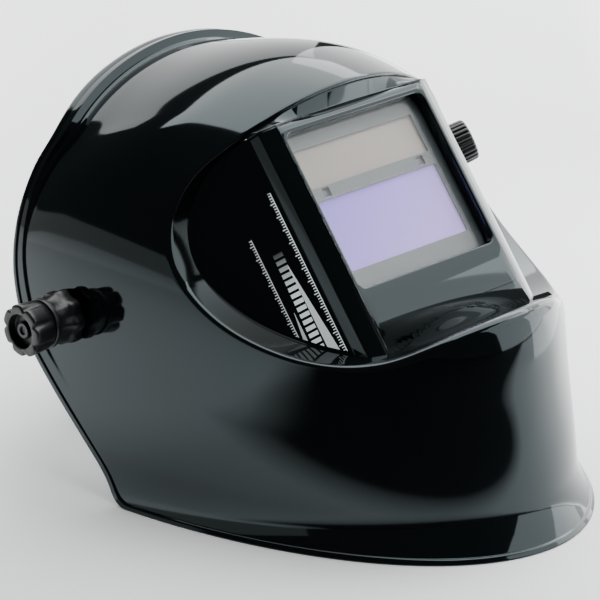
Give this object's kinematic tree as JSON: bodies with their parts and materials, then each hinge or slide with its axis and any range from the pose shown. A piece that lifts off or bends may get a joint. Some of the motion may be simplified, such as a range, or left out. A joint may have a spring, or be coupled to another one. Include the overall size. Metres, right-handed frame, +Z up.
{
  "type": "welding helmet",
  "caption": "Auto-darkening welding helmet: a one-piece face shell with a lens window, side controls, pivot knobs and an adjustable ratchet headgear inside.",
  "frame": {"origin": "middle of the box's footprint, at the height of the shell's bottom rim", "axes": "+Z up from the rim, -Y the way the wearer looks, +X to the wearer's left"},
  "size_m": [0.3332, 0.362, 0.2375],
  "materials": {
    "shell_gloss_black": "high gloss",
    "decal_black": "printed film, satin gloss",
    "clear_lens": "clear polycarbonate",
    "cartridge_grey": "fine matt",
    "filter_lavender": "coated filter glass",
    "solar_cell": "thin-film cell under glass",
    "sensor_dark": "tinted window",
    "board_green": "solder mask",
    "steel": "plated",
    "knob_black": "fine moulded texture",
    "headgear_black": "moulded nylon",
    "washer_nylon": "natural nylon",
    "pad_fabric": "knitted terry over foam",
    "wire_black": "flexible sheath"
  },
  "bodies": {
    "shell": {"shell": "shell_gloss_black", "decal_left": "decal_black", "decal_right": "decal_black", "lens_carrier": "headgear_black", "front_cover_lens": "clear_lens", "cartridge_case": "cartridge_grey", "filter_glass": "filter_lavender", "solar_cell": "solar_cell", "arc_sensor_left": "sensor_dark", "arc_sensor_right": "sensor_dark", "circuit_board": "board_green", "battery": "steel", "cartridge_back": "cartridge_grey", "inner_cover_lens": "clear_lens", "potentiometer": "steel", "potentiometer_nut": "steel", "shade_lead": "wire_black", "friction_washer_left": "washer_nylon", "friction_washer_right": "washer_nylon"},
    "retaining_frame": {"retaining_frame": "headgear_black"},
    "shade_knob": {"shade_knob": "knob_black"},
    "sensitivity_dial": {"sensitivity_dial": "knob_black"},
    "delay_switch": {"delay_switch": "knob_black"},
    "distance_collar_left": {"distance_collar_left": "knob_black"},
    "distance_collar_right": {"distance_collar_right": "knob_black"},
    "pivot_carrier": {"pivot_bolt_left": "steel", "pivot_bolt_right": "steel", "slide_block_left": "washer_nylon", "slide_block_right": "washer_nylon"},
    "tension_knob_left": {"tension_knob_left": "knob_black"},
    "tension_knob_right": {"tension_knob_right": "knob_black"},
    "headgear": {"front_band": "headgear_black", "sweatband": "pad_fabric", "side_arm_left": "headgear_black", "side_arm_right": "headgear_black", "arm_rivet_left": "steel", "arm_rivet_right": "steel", "crown_pin_left": "steel", "crown_pin_right": "steel"},
    "crown": {"crown_strap": "headgear_black", "crown_pad": "pad_fabric"},
    "rear_cradle": {"rear_band": "headgear_black", "nape_pad": "pad_fabric", "ratchet_housing": "headgear_black", "ratchet_cover": "headgear_black"},
    "ratchet": {"ratchet_knob": "knob_black", "ratchet_pinion": "headgear_black"}
  },
  "joints": [
    {"name": "headgear_tilt", "type": "hinge", "parent": "shell", "child": "pivot_carrier", "pos_m": [0, 0.06797, 0.102], "axis": [1, 0, 0], "range_deg": [-10, 65]},
    {"name": "fore_aft", "type": "slide", "parent": "pivot_carrier", "child": "headgear", "axis": [0, 0.829, -0.5592], "range_m": [-0.008, 0.008]},
    {"name": "crown_tilt", "type": "hinge", "parent": "headgear", "child": "crown", "pos_m": [0, 0.06797, 0.102], "axis": [1, 0, 0], "range_deg": [-20, 12]},
    {"name": "band_size", "type": "slide", "parent": "headgear", "child": "rear_cradle", "axis": [0, 0.829, -0.5592], "range_m": [-0.008, 0.015]},
    {"name": "ratchet_turn", "type": "hinge", "parent": "rear_cradle", "child": "ratchet", "pos_m": [0, 0.06797, 0.102], "axis": [0, 0.829, -0.5592], "range_deg": [-70, 130]},
    {"name": "tension_turn_left", "type": "hinge", "parent": "pivot_carrier", "child": "tension_knob_left", "pos_m": [0, 0.06797, 0.102], "axis": [1, 0, 0], "range_deg": [0, 360]},
    {"name": "tension_turn_right", "type": "hinge", "parent": "pivot_carrier", "child": "tension_knob_right", "pos_m": [0, 0.06797, 0.102], "axis": [-1, 0, 0], "range_deg": [0, 360]},
    {"name": "collar_turn_left", "type": "hinge", "parent": "shell", "child": "distance_collar_left", "pos_m": [0, 0.06797, 0.102], "axis": [1, 0, 0], "range_deg": [0, 90]},
    {"name": "collar_turn_right", "type": "hinge", "parent": "shell", "child": "distance_collar_right", "pos_m": [0, 0.06797, 0.102], "axis": [-1, 0, 0], "range_deg": [0, 90]},
    {"name": "shade_turn", "type": "hinge", "parent": "shell", "child": "shade_knob", "pos_m": [0.08178, -0.01856, 0.16851], "axis": [0.8039, -0.4655, 0.3703], "range_deg": [-135, 135]},
    {"name": "sensitivity_turn", "type": "hinge", "parent": "shell", "child": "sensitivity_dial", "pos_m": [-0.022, -0.03411, 0.20004], "axis": [0, -0.7826, 0.6225], "range_deg": [-135, 135]},
    {"name": "delay_slide", "type": "slide", "parent": "shell", "child": "delay_switch", "axis": [1, 0, 0], "range_m": [0, 0.005]},
    {"name": "retainer_slide", "type": "slide", "parent": "shell", "child": "retaining_frame", "axis": [0, -0.6225, -0.7826], "range_m": [0, 0.025]}
  ],
  "couplings": [
    {"joint": "ratchet_turn", "follows": "band_size", "rad_per_m": 142.86}
  ]
}
